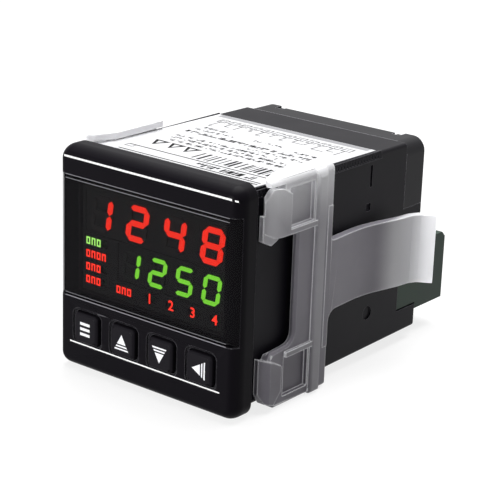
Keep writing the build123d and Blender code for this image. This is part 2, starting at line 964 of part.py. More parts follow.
def clamp_upper_finger():
    """The sprung finger that bows forward to the panel, over a foot that meets it."""
    inner = clamp_inner()
    proud = clamp_outer() + shelf_proud
    outer_bow = ThreePointArc((proud, 7.0), (proud - 0.5, 4.4), (inner + 1.0, 2.3))
    tip = Line((inner + 1.0, 2.3), (inner + 0.2, 2.9))
    inner_bow = ThreePointArc((inner + 0.2, 2.9), (inner + 0.8, 5.0), (inner + recess_wall - 0.1, 7.4))
    ends = Polyline(
        (inner + recess_wall - 0.1, 7.4),
        (inner + recess_wall - 0.1, finger_rear),
        (proud, finger_rear),
        (proud, 7.0),
    )
    plan = make_face(outer_bow + tip + inner_bow + ends)
    outline = [
        (2.2, arm_low + 1.3),
        (2.2, finger_top - 2.75),
        (4.0, finger_top),
        (6.2, finger_top - 0.2),
        (finger_rear + 0.5, finger_top - 1.95),
        (finger_rear + 0.5, arm_low),
        (5.0, arm_low),
    ]
    finger = plan_slab(plan, arm_low, finger_top) & side_slab(rounded_face(outline, 0.9), inner - 1, proud + 1)
    foot_outline = [
        (panel_space, arm_low - 0.4),
        (panel_space, arm_low + 4.8),
        (3.4, arm_low + 4.6),
        (4.9, arm_low + 2.3),
        (arm_front + 0.4, arm_low + 0.7),
        (6.0, arm_low - 0.8),
        (4.2, arm_low - 1.5),
    ]
    return finger + clamp_foot(foot_outline, inner + 1.5)


def clamp_foot(outline, outer_x):
    """A foot with a narrow face to the panel that grows out to its arm."""
    inner = clamp_inner()
    rear = max(y for y, z in outline)
    z_low = min(z for y, z in outline) - 1
    z_high = max(z for y, z in outline) + 1
    plan = Polygon(
        (inner, panel_space),
        (inner + foot_wall, panel_space),
        (outer_x, panel_space + 2.3),
        (outer_x, rear),
        (inner, rear),
        align=None,
    )
    return plan_slab(plan, z_low, z_high) & side_slab(Polygon(*outline, align=None), inner - 1, outer_x + 1)


def clamp_lower_foot():
    top = lower_arm_top
    outline = [
        (panel_space, top - 1.2),
        (5.2, top - 2.4),
        (7.9, top - 3.8),
        (7.9, top - 9.2),
        (5.6, top - 11.7),
        (3.4, top - 11.0),
        (panel_space, top - 8.8),
    ]
    return clamp_foot(outline, clamp_outer() + 0.4)


def clamp_lever():
    """The long release lever: it follows the housing, swings out, then turns to a lip."""
    middle = clamp_outer() - lever_thickness / 2
    bend = [
        (middle + 0.1, band_rear - 1.5),
        (middle + 0.1, band_rear + 0.5),
        (middle - 0.25, 31.0),
        (middle - 0.1, 36.5),
        (middle + 1.0, 42.0),
        (middle + 2.0, 46.0),
    ]
    tail = [
        bend[-1],
        (middle + 2.45, 49.6),
        (middle + 3.6, 51.6),
        (middle + lever_flare, lever_end),
    ]
    strip = trace(Spline(*bend) + Polyline(*tail), lever_thickness)
    root = span(band_rear - 1.5, band_rear, -2 * lever_half_height, 2 * lever_half_height)
    outline = root + span(band_rear - 1.5, 70, -lever_half_height, lever_half_height)
    for side, radius in ((1, lever_root_top), (-1, lever_root_bottom)):
        corner = (band_rear, side * lever_half_height, 0)
        outline = fillet(outline.vertices().sort_by_distance(corner)[0], radius)
    height = 2 * lever_half_height
    return plan_slab(strip, -height, height) & side_slab(outline, 0, 60)


def make_clamp():
    side = (clamp_side_wall() + clamp_roof_lip()) & slab(clamp_section(0), 0, band_rear)
    for hollow in clamp_recesses():
        side -= hollow
    side += clamp_rib()
    for shelf in clamp_shelves():
        side += shelf
    side += clamp_pawl()
    side += clamp_upper_finger()
    side += clamp_lower_foot()
    side += clamp_lever()
    reach = clamp_outer() - heel_round
    clamp = block(-reach, reach, band_front, band_rear, clamp_low(), -clamp_inner())
    for half in both_sides(side):
        clamp += half
    return clamp


# Write every piece

body = bezel_shape()
write("front_bezel", make_bezel(body))
write("display_window", make_window(body))
for name, place in zip(key_names, key_places()):
    write(name, make_key(place))
write("key_switches", [make_switch(place) for place in key_places()])

upper_lit, upper_dark, upper_block, upper_box = display_parts(upper_digit, readings[0])
lower_lit, lower_dark, lower_block, lower_box = display_parts(lower_digit, readings[1])
write("upper_display", upper_block)
write("upper_digits_lit", upper_lit)
write("upper_digits_dark", upper_dark)
write("lower_display", lower_block)
write("lower_digits_lit", lower_lit)
write("lower_digits_dark", lower_dark)

column, output, numbered = lamp_places()
write("green_lamp", lamp(*column[0]))
write("red_lamps", [lamp(*place) for place in column[1:] + output])
write("numbered_lamps", [lamp(*place) for place in numbered])
write("light_shield", make_shield([upper_box, lower_box]))
write("display_board", make_display_board())

write("housing", make_housing())
write("rear_cover", make_cover())
write("top_label", make_label())

write("main_board", horizontal_board(main_board_half, main_board_front, main_board_rear, main_board_top))
write("power_board", horizontal_board(power_board_half, main_board_front, power_board_rear, power_board_top))
write("relays", [make_relay(x, relay_y) for x in relay_places])
write("transformer_core", make_core())
write("transformer_coil", make_coil())
write("capacitors", [make_capacitor(-13.0, y, 4.0, 11.5, power_board_top) for y in (20.5, 31.0)])
write("control_chip", make_chip())
write("board_link", make_board_link())
write("display_link", make_display_link())

write("terminal_header", make_header())
write("header_pins", [make_pin(place) for place in way_places()])
write("terminal_plug", make_plug())
write("terminal_screws", [make_screw(place) for place in way_places()])
write("wire_clamps", [make_wire_clamp(place) for place in way_places()])
write("mounting_clamp", make_clamp())
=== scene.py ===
import json
import math
import bpy
import bmesh
import numpy as np
from mathutils import Matrix, Vector


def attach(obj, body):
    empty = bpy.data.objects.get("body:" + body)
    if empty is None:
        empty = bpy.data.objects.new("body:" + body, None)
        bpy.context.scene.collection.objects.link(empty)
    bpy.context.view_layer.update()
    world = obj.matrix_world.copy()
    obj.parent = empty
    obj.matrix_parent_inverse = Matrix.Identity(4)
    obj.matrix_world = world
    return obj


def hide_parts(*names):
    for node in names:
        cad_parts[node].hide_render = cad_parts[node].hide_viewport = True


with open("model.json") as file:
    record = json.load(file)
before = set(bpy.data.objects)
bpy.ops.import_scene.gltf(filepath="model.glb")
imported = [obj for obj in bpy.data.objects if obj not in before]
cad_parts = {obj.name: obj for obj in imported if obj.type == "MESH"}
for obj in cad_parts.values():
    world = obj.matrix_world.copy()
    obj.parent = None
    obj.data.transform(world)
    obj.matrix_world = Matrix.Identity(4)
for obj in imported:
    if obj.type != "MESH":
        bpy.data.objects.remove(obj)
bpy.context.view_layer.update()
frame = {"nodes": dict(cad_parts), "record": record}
nodes = frame["nodes"]
mm = 0.001
print("frame loaded, nodes:", len(nodes))


# Colours and nodes

def linear(hexColour):
    # An sRGB hex colour as linear red, green, blue and alpha.
    parts = [int(hexColour[i:i + 2], 16) / 255 for i in (1, 3, 5)]
    return tuple(p / 12.92 if p <= 0.04045 else ((p + 0.055) / 1.055) ** 2.4 for p in parts) + (1.0,)


def addNode(tree, kind, settings=(), **inputs):
    # One node with its settings. Each input is a value or a link, by name, or by its place as i0, i1 and so on.
    node = tree.nodes.new("ShaderNode" + kind)
    for name, value in dict(settings).items():
        setattr(node, name, value)
    for name, value in inputs.items():
        key = int(name[1:]) if name[0] == "i" and name[1:].isdigit() else name.replace("_", " ")
        if isinstance(value, bpy.types.NodeSocket):
            tree.links.new(value, node.inputs[key])
        else:
            node.inputs[key].default_value = value
    return node


def startMaterial(name, colour, roughness, **inputs):
    # A Principled surface of one colour, and the place on the object in metres.
    material = bpy.data.materials.new(name)
    material.use_nodes = True
    tree = material.node_tree
    tree.nodes.clear()
    shader = addNode(tree, "BsdfPrincipled", Base_Color=linear(colour), Roughness=roughness, **inputs)
    addNode(tree, "OutputMaterial", Surface=shader.outputs[0])
    place = addNode(tree, "TexCoord").outputs["Object"]
    return material, tree, shader, place


def addGrain(tree, shader, place, grain, depth):
    # A moulded or sanded grain: noise with cells of that size in mm, raised by that depth in mm.
    noise = addNode(tree, "TexNoise", Vector=place, Scale=1 / (grain * mm), Detail=3, Roughness=0.6)
    bump = addNode(tree, "Bump", Strength=1.0, Distance=depth * mm, Height=noise.outputs["Fac"])
    tree.links.new(bump.outputs[0], shader.inputs["Normal"])


def addMottle(tree, shader, place, size, colours, roughness):
    # Slow patches of that size in mm that vary the colour and the gloss a little.
    noise = addNode(tree, "TexNoise", Vector=place, Scale=1 / (size * mm), Detail=4, Roughness=0.55)
    mixed = addNode(tree, "Mix", {"data_type": "RGBA"}, i0=noise.outputs["Fac"])
    mixed.inputs[6].default_value = linear(colours[0])
    mixed.inputs[7].default_value = linear(colours[1])
    tree.links.new(mixed.outputs[2], shader.inputs["Base Color"])
    gloss = addNode(tree, "MapRange", Value=noise.outputs["Fac"], To_Min=roughness[0], To_Max=roughness[1])
    tree.links.new(gloss.outputs[0], shader.inputs["Roughness"])


edgeLook = dict(flat=0.985, sharp=0.86, samples=6)


def edgeShare(tree, radius):
    # 1 at an edge and 0 on a flat: how far a normal rounded by that radius in mm leaves the true one.
    around = addNode(tree, "Bevel", {"samples": edgeLook["samples"]}, Radius=radius * mm)
    flat = addNode(tree, "NewGeometry").outputs["True Normal"]
    same = addNode(tree, "VectorMath", {"operation": "DOT_PRODUCT"}, i0=around.outputs[0], i1=flat)
    share = addNode(tree, "MapRange", Value=same.outputs["Value"],
                    From_Min=edgeLook["flat"], From_Max=edgeLook["sharp"])
    return share.outputs[0]


def wear(node, material):
    # The one material of a CAD node.
    mesh = node.data
    mesh.materials.clear()
    mesh.materials.append(material)


# Materials

# edge is the radius in mm of the painted edge highlight on black ABS.
moulding = dict(grain=0.22, depth=0.0025, patch=9.0, edge=0.22)


def blackAbs(name, colours, roughness, gloss, lit):
    # Black ABS moulded in a spark-eroded tool: a fine even grain that spreads the gloss.
    # Its edges are painted lighter, a painted highlight.
    material, tree, shader, place = startMaterial(name, colours[0], roughness[0], IOR=1.53)
    shader.inputs["Specular IOR Level"].default_value = gloss
    addGrain(tree, shader, place, grain=moulding["grain"], depth=moulding["depth"])
    addMottle(tree, shader, place, moulding["patch"], colours, roughness)
    # Painted highlight: the base colour turns lighter at the edges.
    edge = edgeShare(tree, moulding["edge"])
    paintedHighlight = addNode(tree, "Mix", {"data_type": "RGBA"}, i0=edge)
    tree.links.new(shader.inputs["Base Color"].links[0].from_socket, paintedHighlight.inputs[6])
    paintedHighlight.inputs[7].default_value = linear(lit)
    tree.links.new(paintedHighlight.outputs[2], shader.inputs["Base Color"])
    return material


def smokedAcrylic():
    # Cast acrylic sheet dyed nearly black and polished: dark and mirror-smooth, and the lights show through.
    material, tree, shader, place = startMaterial("smokedAcrylicPolished", "#0b0a0d", 0.06, IOR=1.49)
    shader.inputs["Alpha"].default_value = 0.45
    shader.inputs["Specular IOR Level"].default_value = 0.1
    return material


def siliconeRubber():
    # Silicone rubber pressed in a blasted mould: soft, dull, with little gloss.
    material, tree, shader, place = startMaterial("siliconeRubberMoulded", "#121015", 0.55, IOR=1.43)
    shader.inputs["Specular IOR Level"].default_value = 0.1
    addGrain(tree, shader, place, grain=0.12, depth=0.003)
    addMottle(tree, shader, place, size=4.0, colours=("#100e13", "#151318"), roughness=(0.5, 0.62))
    return material


def litResin(name, colour, strength, edge):
    # Clear resin filled with diffuser over a diode: it glows nearly evenly, a little patchy, over a dark tint of its
    # colour.
    material, tree, shader, place = startMaterial(name, edge, 0.4, IOR=1.5)
    glow = addNode(tree, "TexNoise", Vector=place, Scale=1 / (1.6 * mm), Detail=1)
    level = addNode(tree, "MapRange", Value=glow.outputs["Fac"], To_Min=0.9 * strength, To_Max=1.1 * strength)
    shader.inputs["Emission Color"].default_value = linear(colour)
    tree.links.new(level.outputs[0], shader.inputs["Emission Strength"])
    return material


def darkResin(name, colour):
    # The same diffused resin with its diode off: a dull tinted bar that hardly shows.
    material, tree, shader, place = startMaterial(name, colour, 0.5, IOR=1.5)
    addGrain(tree, shader, place, grain=0.3, depth=0.004)
    return material


clampColourAndPaintedLight = dict(
    clear="#fbfbfd", backedAndShaded="#9c98a2", low="#827e88",  # standing clear; over the black sleeve, which shows through, with painted shade; painted shade low on the sleeve
    sleeveX=25.0, clearX=26.6,  # from over the sleeve to clear of it
    armY=10.5, footY=4.0, footShare=0.6, footZ=4.0,  # painted light: the upper feet brighten towards the panel
    sideZ=8.0, roofZ=23.6,  # painted top light: the side brightens up to the roof lips
    lowZ=(2.0, -16.0), cloud=8.0, drift=0.12,
    edge=0.45, edgeGlow=0.2, tipX=(26.8, 29.8), tipGlow=0.2,  # painted highlight at the edges and painted glow at the lever tips
)


def milkyPolyamide():
    # Unfilled polyamide, moulded thin: milky. Its edges and lever tips take a painted highlight and a painted glow.
    # Where it lies close to the black sleeve it is darker, partly as the sleeve shows through and partly painted shade;
    # lower down it is painted darker still; the upper feet and the side up to the roof lips are painted lighter; what
    # stands clear stays bright.
    v = clampColourAndPaintedLight
    material, tree, shader, place = startMaterial("naturalPolyamideMoulded", v["clear"], 0.42, IOR=1.45)
    shader.inputs["Transmission Weight"].default_value = 0.35
    addGrain(tree, shader, place, grain=0.5, depth=0.003)
    parts = addNode(tree, "SeparateXYZ", Vector=place)
    out = addNode(tree, "Math", {"operation": "ABSOLUTE"}, i0=parts.outputs["X"])
    away = addNode(tree, "MapRange", {"interpolation_type": "SMOOTHSTEP"}, Value=out.outputs[0],
                   From_Min=v["sleeveX"] * mm, From_Max=v["clearX"] * mm)
    # Painted light: the upper feet are lighter towards the panel.
    front = addNode(tree, "MapRange", {"interpolation_type": "SMOOTHSTEP"}, Value=parts.outputs["Y"],
                    From_Min=v["armY"] * mm, From_Max=v["footY"] * mm, To_Max=v["footShare"])
    # Painted top light: lighter towards the roof lips.
    paintedTopLight = addNode(tree, "MapRange", {"interpolation_type": "SMOOTHSTEP"}, Value=parts.outputs["Z"],
                   From_Min=v["sideZ"] * mm, From_Max=v["roofZ"] * mm)
    upper = addNode(tree, "MapRange", Value=parts.outputs["Z"],
                    From_Min=-v["footZ"] * mm, From_Max=v["footZ"] * mm)
    front = addNode(tree, "Math", {"operation": "MULTIPLY"}, i0=front.outputs[0], i1=upper.outputs[0])
    share = addNode(tree, "Math", {"operation": "MAXIMUM"}, i0=away.outputs[0], i1=front.outputs[0])
    share = addNode(tree, "Math", {"operation": "MAXIMUM"}, i0=share.outputs[0], i1=paintedTopLight.outputs[0])
    cloud = addNode(tree, "TexNoise", Vector=place, Scale=1 / (v["cloud"] * mm), Detail=4)
    drift = addNode(tree, "MapRange", Value=cloud.outputs["Fac"], To_Min=-v["drift"], To_Max=v["drift"])
    share = addNode(tree, "Math", {"operation": "ADD", "use_clamp": True}, i0=share.outputs[0], i1=drift.outputs[0])
    # Painted shade: darker lower down on the sleeve.
    down = addNode(tree, "MapRange", Value=parts.outputs["Z"], From_Min=v["lowZ"][0] * mm, From_Max=v["lowZ"][1] * mm)
    backedAndShaded = addNode(tree, "Mix", {"data_type": "RGBA"}, i0=down.outputs[0])
    backedAndShaded.inputs[6].default_value = linear(v["backedAndShaded"])
    backedAndShaded.inputs[7].default_value = linear(v["low"])
    mixed = addNode(tree, "Mix", {"data_type": "RGBA"}, i0=share.outputs[0])
    tree.links.new(backedAndShaded.outputs[2], mixed.inputs[6])
    mixed.inputs[7].default_value = linear(v["clear"])
    # Painted highlight and painted glow at its edges, where the rounded normal leaves the flat one.
    edge = edgeShare(tree, v["edge"])
    paintedHighlight = addNode(tree, "Mix", {"data_type": "RGBA"}, i0=edge)
    tree.links.new(mixed.outputs[2], paintedHighlight.inputs[6])
    paintedHighlight.inputs[7].default_value = linear(v["clear"])
    tree.links.new(paintedHighlight.outputs[2], shader.inputs["Base Color"])
    # Painted glow at the lever tips, added to the painted glow at the edges.
    tipPaintedGlow = addNode(tree, "MapRange", {"interpolation_type": "SMOOTHSTEP"}, Value=out.outputs[0],
                  From_Min=v["tipX"][0] * mm, From_Max=v["tipX"][1] * mm, To_Max=v["tipGlow"])
    glow = addNode(tree, "Math", {"operation": "MULTIPLY"}, i0=edge, i1=v["edgeGlow"])
    glow = addNode(tree, "Math", {"operation": "ADD"}, i0=glow.outputs[0], i1=tipPaintedGlow.outputs[0])
    shader.inputs["Emission Color"].default_value = linear(v["clear"])
    tree.links.new(glow.outputs[0], shader.inputs["Emission Strength"])
    return material


def labelFilm():
    # Satin polyester film, printed: nearly white with a soft shine.
    material, tree, shader, place = startMaterial("polyesterFilmSatin", "#c8c8ca", 0.38, IOR=1.6)
    addGrain(tree, shader, place, grain=0.35, depth=0.002)
    return material


def printingInk(name, colour, roughness=0.55):
    # Screen-printed ink: flat, opaque, dull.
    material, tree, shader, place = startMaterial(name, colour, roughness, IOR=1.3)
    shader.inputs["Specular IOR Level"].default_value = 0.1
    addGrain(tree, shader, place, grain=0.1, depth=0.002)
    return material


def greenTerminalPlastic(name, colours):
    # Glass-filled polyamide moulded in a polished tool: dark green with a streaky sheen.
    material, tree, shader, place = startMaterial(name, colours[0], 0.4, IOR=1.53)
    shader.inputs["Specular IOR Level"].default_value = 0.12
    addGrain(tree, shader, place, grain=0.18, depth=0.005)
    addMottle(tree, shader, place, size=5.0, colours=colours, roughness=(0.32, 0.48))
    return material


def zincSteel():
    # Turned steel with a bright zinc plating: fine turning marks under a soft mirror.
    material, tree, shader, place = startMaterial("steelZincPlated", "#c9c8c2", 0.28, Metallic=1.0)
    addGrain(tree, shader, place, grain=0.09, depth=0.002)
    return material


def boardLaminate():
    # Glass-epoxy laminate under solder resist: green, glossy, with the weave just under it.
    material, tree, shader, place = startMaterial("glassEpoxyLaminate", "#1d5a34", 0.3, IOR=1.55)
    addGrain(tree, shader, place, grain=0.5, depth=0.004)
    return material


def plainPlastic(name, colour, roughness):
    # Small moulded pieces inside: an even grain.
    material, tree, shader, place = startMaterial(name, colour, roughness, IOR=1.53)
    addGrain(tree, shader, place, grain=0.2, depth=0.004)
    return material


# The last colour of each black ABS is its painted edge highlight.
bezelAbs = blackAbs("absSparkErodedBezel", ("#08060b", "#0c0a0f"), (0.36, 0.46), gloss=0.04, lit="#77767b")
housingAbs = blackAbs("absSparkErodedHousing", ("#08060c", "#0c0a10"), (0.42, 0.52), gloss=0.08, lit="#5e5d62")
# The hood is the housing's black ABS painted lighter, painted light for its lit top, with a brighter painted edge
# highlight.
hoodAbsPaintedLighter = blackAbs("absSparkErodedHoodPaintedLighter", ("#0f0e12", "#151418"), (0.42, 0.52), gloss=0.12, lit="#a4a3a8")
acrylic = smokedAcrylic()
rubber = siliconeRubber()
redLit = litResin("diffusedResinRedLit", "#ff2c18", strength=2.7, edge="#66120a")
greenLit = litResin("diffusedResinGreenLit", "#86e83c", strength=2.4, edge="#2a5a12")
redSign = litResin("maskedResinRedLit", "#ff3220", strength=4.1, edge="#66120a")
greenSign = litResin("maskedResinGreenLit", "#a6f070", strength=3.3, edge="#2a5a12")
redDark = darkResin("diffusedResinRedOff", "#17090a")
greenDark = darkResin("diffusedResinGreenOff", "#0b1109")
shieldBlack = startMaterial("polycarbonateBlackMatt", "#050506", 0.7)[0]
polyamide = milkyPolyamide()
film = labelFilm()
blackInk = printingInk("screenInkBlack", "#08080a")
whiteInk = printingInk("screenInkWhite", "#fcfcff", 0.45)
silverInk = printingInk("screenInkSilver", "#ffffff", 0.4)
paleStrip = printingInk("polyesterFilmBare", "#8f8f92", 0.35)
# Painted highlight for the window's bevels, drawn as grey lines.
windowEdgeHighlight = printingInk("windowEdgePaintedHighlight", "#8e8d93", 0.25)
headerGreen = greenTerminalPlastic("polyamideGreenHeader", ("#22352a", "#283d30"))
plugGreen = greenTerminalPlastic("polyamideGreenPlug", ("#22332a", "#2a3d32"))
zinc = zincSteel()
laminate = boardLaminate()
tinned = startMaterial("brassTinned", "#cfccc0", 0.3, Metallic=1.0)[0]
innerBlack = plainPlastic("polyamideBlackMoulded", "#1c1c1e", 0.5)
relayBlue = plainPlastic("polyesterBlueMoulded", "#16356b", 0.32)
coreSteel = plainPlastic("siliconSteelLacquered", "#4d4945", 0.45)
coilTape = plainPlastic("polyesterTapeYellow", "#c9a227", 0.35)

nodeMaterials = {
    "front_bezel": bezelAbs, "display_window": acrylic, "key_switches": innerBlack,
    "key_program": rubber, "key_up": rubber, "key_down": rubber, "key_back": rubber,
    "upper_display": shieldBlack, "lower_display": shieldBlack, "light_shield": shieldBlack,
    "upper_digits_lit": redLit, "upper_digits_dark": redDark,
    "lower_digits_lit": greenLit, "lower_digits_dark": greenDark,
    "green_lamp": greenLit, "red_lamps": redLit, "numbered_lamps": redLit,
    "display_board": laminate, "main_board": laminate, "power_board": laminate,
    "housing": housingAbs, "rear_cover": hoodAbsPaintedLighter, "top_label": film,
    "relays": relayBlue, "transformer_core": coreSteel, "transformer_coil": coilTape,
    "capacitors": innerBlack, "control_chip": innerBlack, "board_link": innerBlack,
    "display_link": innerBlack, "terminal_header": headerGreen, "header_pins": tinned,
    "terminal_plug": plugGreen, "terminal_screws": zinc, "wire_clamps": tinned,
    "mounting_clamp": polyamide,
}
for name, material in nodeMaterials.items():
    wear(nodes[name], material)
print("materials:", len(bpy.data.materials))


# Rounded copies of the visible mouldings

def bodyOf(name):
    # The body that a node rides on, as the record gives it.
    return next(body for body, names in frame["record"]["behaviour"]["bodies"].items() if name in names)


rounding = dict(merge=0.002, segments=2, turn=28)


def soften(node, width):
    # A merged copy of a CAD node whose sharp edges are rounded by that width in mm, as a mould leaves them.
    mesh = nodes[node].data.copy()
    shape = bmesh.new()
    shape.from_mesh(mesh)
    bmesh.ops.remove_doubles(shape, verts=shape.verts, dist=rounding["merge"] * mm)
    shape.to_mesh(mesh)
    shape.free()
    mesh.shade_smooth()
    mesh.set_sharp_from_angle(angle=math.radians(rounding["turn"]))
    piece = bpy.data.objects.new(node + "_rounded", mesh)
    bpy.context.scene.collection.objects.link(piece)
    bevel = piece.modifiers.new("edges", "BEVEL")
    bevel.width = width * mm
    bevel.segments = rounding["segments"]
    bevel.limit_method = "ANGLE"
    bevel.angle_limit = math.radians(rounding["turn"])
    bevel.use_clamp_overlap = False
    normals = piece.modifiers.new("normals", "WEIGHTED_NORMAL")
    normals.keep_sharp = True
    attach(piece, bodyOf(node))
    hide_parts(node)


roundings = {
    "front_bezel": 0.1, "mounting_clamp": 0.1,
    "key_program": 0.16, "key_up": 0.16, "key_down": 0.16, "key_back": 0.16,
    "display_window": 0.06,
}
for name, width in roundings.items():
    soften(name, width)
print("rounded copies:", len(roundings))


# Printing, painted highlights and lit signs

printLift = 0.012  # ink over its surface, mm


def addPatches(name, patches, material, body):
    # Flat patches of ink or of painted highlight, from their corners in mm, an array of patch, corner and axis, as one
    # mesh.
    corners = np.asarray(patches, dtype=float)
    count, sides = corners.shape[:2]
    mesh = bpy.data.meshes.new(name)
    faces = np.arange(count * sides).reshape(count, sides)
    mesh.from_pydata((corners.reshape(-1, 3) * mm).tolist(), [], faces.tolist())
    mesh.materials.append(material)
    piece = bpy.data.objects.new(name, mesh)
    bpy.context.scene.collection.objects.link(piece)
    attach(piece, body)
    return piece


def onFront(flat, y):
    # Points (x, z) seen from the front, laid on the plane at depth y.
    flat = np.asarray(flat, dtype=float)
    return np.stack([flat[..., 0], np.full(flat.shape[:-1], y), flat[..., 1]], axis=-1)


labelPlane = dict(top=22.4, fall=0.7, over=60, film=0.12)


def labelHeight(y):
    # The label falls evenly from front to rear, and the ink lies on its film.
    p = labelPlane
    return p["top"] - p["fall"] * y / p["over"] + p["film"] + printLift


def onLabel(flat):
    # Points (x, y) seen from above, laid on the label.
    flat = np.asarray(flat, dtype=float)
    return np.concatenate([flat, labelHeight(flat[..., 1])[..., None]], axis=-1)


def rectangle(x0, x1, z0, z1):
    # Corners of an upright patch, anticlockwise.
    return [(x0, z0), (x1, z0), (x1, z1), (x0, z1)]


def wordMesh(words, size, turn, weight):
    # Plain numerals as a flat mesh, that size high in mm, centred, then laid by the turn.
    curve = bpy.data.curves.new("numeral", "FONT")
    curve.body = words
    curve.size = size * mm * 1.4
    curve.align_x = "CENTER"
    curve.align_y = "CENTER"
    curve.resolution_u = 3
    curve.offset = weight * mm
    carrier = bpy.data.objects.new("numeral", curve)
    mesh = bpy.data.meshes.new_from_object(carrier)
    bpy.data.objects.remove(carrier)
    bpy.data.curves.remove(curve)
    mesh.transform(turn)
    return mesh


def addWords(name, places, size, material, body, turn, weight=0.0):
    # Several numerals in one mesh, each (words, x, y, z) in mm.
    joined = bmesh.new()
    for words, *place in places:
        mesh = wordMesh(words, size, Matrix.Translation(Vector(place) * mm) @ turn, weight)
        joined.from_mesh(mesh)
        bpy.data.meshes.remove(mesh)
    mesh = bpy.data.meshes.new(name)
    joined.to_mesh(mesh)
    joined.free()
    mesh.materials.append(material)
    piece = bpy.data.objects.new(name, mesh)
    bpy.context.scene.collection.objects.link(piece)
    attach(piece, body)
    return piece


facingFront = Matrix.Rotation(math.radians(90), 4, "X")

bezelPrintAndHighlights = dict(
    front=-5.6 - printLift, topZ=21.75, half=22.0, width=0.42, lowZ=-18.05, lowHalf=20.3, lowWidth=0.3,
    # The edge lines are painted highlights of the window's bevels; the glint is a painted highlight on the corner.
    edges=((17.98, 0.13), (17.2, 0.13), (-7.45, 0.1), (-8.12, 0.2)), edgeHalf=21.6,  # height and width of each line
    glintX=(22.6, 23.5), glintZ=(21.5, 21.85), glintBack=0.13,
)


def printBezel():
    # A silver line over the window, a thinner one under the keys, painted highlights as fine lines at the window's
    # edges
    # and a painted glint on the corner.
    b = bezelPrintAndHighlights
    top = rectangle(-b["half"], b["half"], b["topZ"] - b["width"] / 2, b["topZ"] + b["width"] / 2)
    addPatches("bezel_top_line", [onFront(top, b["front"])], silverInk, "controller")
    low = rectangle(-b["lowHalf"], b["lowHalf"], b["lowZ"] - b["lowWidth"] / 2, b["lowZ"] + b["lowWidth"] / 2)
    addPatches("bezel_low_line", [onFront(low, b["front"])], silverInk, "controller")
    edges = []
    for z, width in b["edges"]:
        edges.append(rectangle(-b["edgeHalf"], b["edgeHalf"], z - width / 2, z + width / 2))
    # Painted highlights along the window's top and bottom edges.
    addPatches("window_edge_painted_highlights", onFront(edges, b["front"]), windowEdgeHighlight, "controller")
    # Painted highlight: a glint on the corner, in silver ink.
    glint = rectangle(*b["glintX"], *b["glintZ"])
    addPatches("bezel_painted_glint", [onFront(glint, b["front"] + b["glintBack"])], silverInk, "controller")


keySigns = dict(
    front=-6.3 - printLift, rowZ=-14.25, pitch=10.25, apex=1.65, base=-0.45, half=1.2, bar=0.34, gap=0.3,
    menuHalf=1.35, menuBar=0.3, menuRows=(1.15, 0, -1.15),
)


def signOutlines():
    # A triangle with two bars beyond its base that widen with it, apex up, about the key's centre.
    k = keySigns
    slope = k["half"] / (k["apex"] - k["base"])
    triangle = [(-k["half"], k["base"]), (k["half"], k["base"]), (0, k["apex"]), (0, k["apex"])]
    bars = []
    for number in range(2):
        high = k["base"] - k["gap"] - number * (k["bar"] + k["gap"])
        low = high - k["bar"]
        wide, wider = (slope * (k["apex"] - z) for z in (high, low))
        bars.append([(-wider, low), (wider, low), (wide, high), (-wide, high)])
    return np.array([triangle] + bars)


def printKeys():
    # Key signs: three stacked bars on the first, then the triangle up, down and to the left.
    k = keySigns
    up = signOutlines()
    down = (up * (1, -1))[:, ::-1]
    left = np.stack([-up[..., 1], up[..., 0]], axis=-1)
    long, thick = k["menuHalf"], k["menuBar"]
    menu = np.array([rectangle(-long, long, z - thick, z + thick) for z in k["menuRows"]])
    for number, (key, sign) in enumerate(zip(("program", "up", "down", "back"), (menu, up, down, left))):
        middle = np.array([(number - 1.5) * k["pitch"], k["rowZ"]])
        addPatches("sign_" + key, onFront(sign + middle, k["front"]), whiteInk, "key_" + key + "_cap")


labelPrint = dict(
    seed=4, half=20.4, ruleFront=4.7, ruleRear=8.6, ruleWidth=0.4, dot=0.55, dotFront=3.5, dotX=(-16.8, 20.3),
    barFront=9.6, barRear=14.4, barX=(-1.5, 17.5), bars=(0.2, 0.3, 0.45, 0.7), barGaps=(0.25, 0.4, 0.6, 1.0),
    rows=(  # from x, to x, y, height, stroke, gap
        (-14.0, 17.5, 16.9, 1.15, 0.36, 0.2), (-15.0, 16.0, 19.0, 1.15, 0.36, 0.2),
        (-15.5, 12.0, 21.0, 1.1, 0.34, 0.22), (2.0, 17.5, 23.0, 1.1, 0.32, 0.22),
        (-17.5, 18.5, 25.2, 1.5, 0.42, 0.14), (-16.5, -4.0, 28.0, 1.1, 0.34, 0.22),
        (-1.0, 7.0, 29.2, 1.1, 0.34, 0.22), (-16.0, -9.0, 30.2, 1.1, 0.32, 0.24),
        (10.5, 18.0, 27.8, 1.1, 0.34, 0.22), (2.5, 18.0, 5.7, 2.1, 0.62, 0.3),
    ),
    boxes=12, boxX=-17.4, boxPitch=3.05, boxWide=2.35, boxY=(36.9, 39.3), boxLine=0.26,
    leadY=(32.6, 35.4), leadHalf=0.13,
    stripHalf=20.2, stripFront=40.7, stripRear=42.5,
    marksX=(-15.8, -11.4, -7.2), markY=11.7, markSide=3.9, markLine=0.6, numeral=1.2,
)


def labelRow(random, x0, x1, y, height, stroke, gap):
    # Short upright strokes and dashes in groups along x between two ends, no two groups alike.
    marks = []
    x = x0
    while x < x1:
        for number in range(random.integers(3, 10)):
            wide = random.choice([0.6, 1.0, 1.0, 2.0]) * stroke
            low = random.choice([0.0, 0.0, 0.5]) * height
            high = random.choice([0.45, 1.0, 1.0]) * height
            if high > low and x + wide < x1:
                marks.append(rectangle(x, x + wide, y + low, y + high))
            x += wide + gap
        x += 2.5 * gap
    return marks


def barMarks(random):
    # Upright bars of uneven width and gap, ragged at the front.
    v = labelPrint
    bars = []
    x, end = v["barX"]
    while x < end:
        wide = random.choice(v["bars"])
        bars.append(rectangle(x, x + wide, v["barFront"] + random.uniform(0, 0.5), v["barRear"]))
        x += wide + random.choice(v["barGaps"])
    return bars


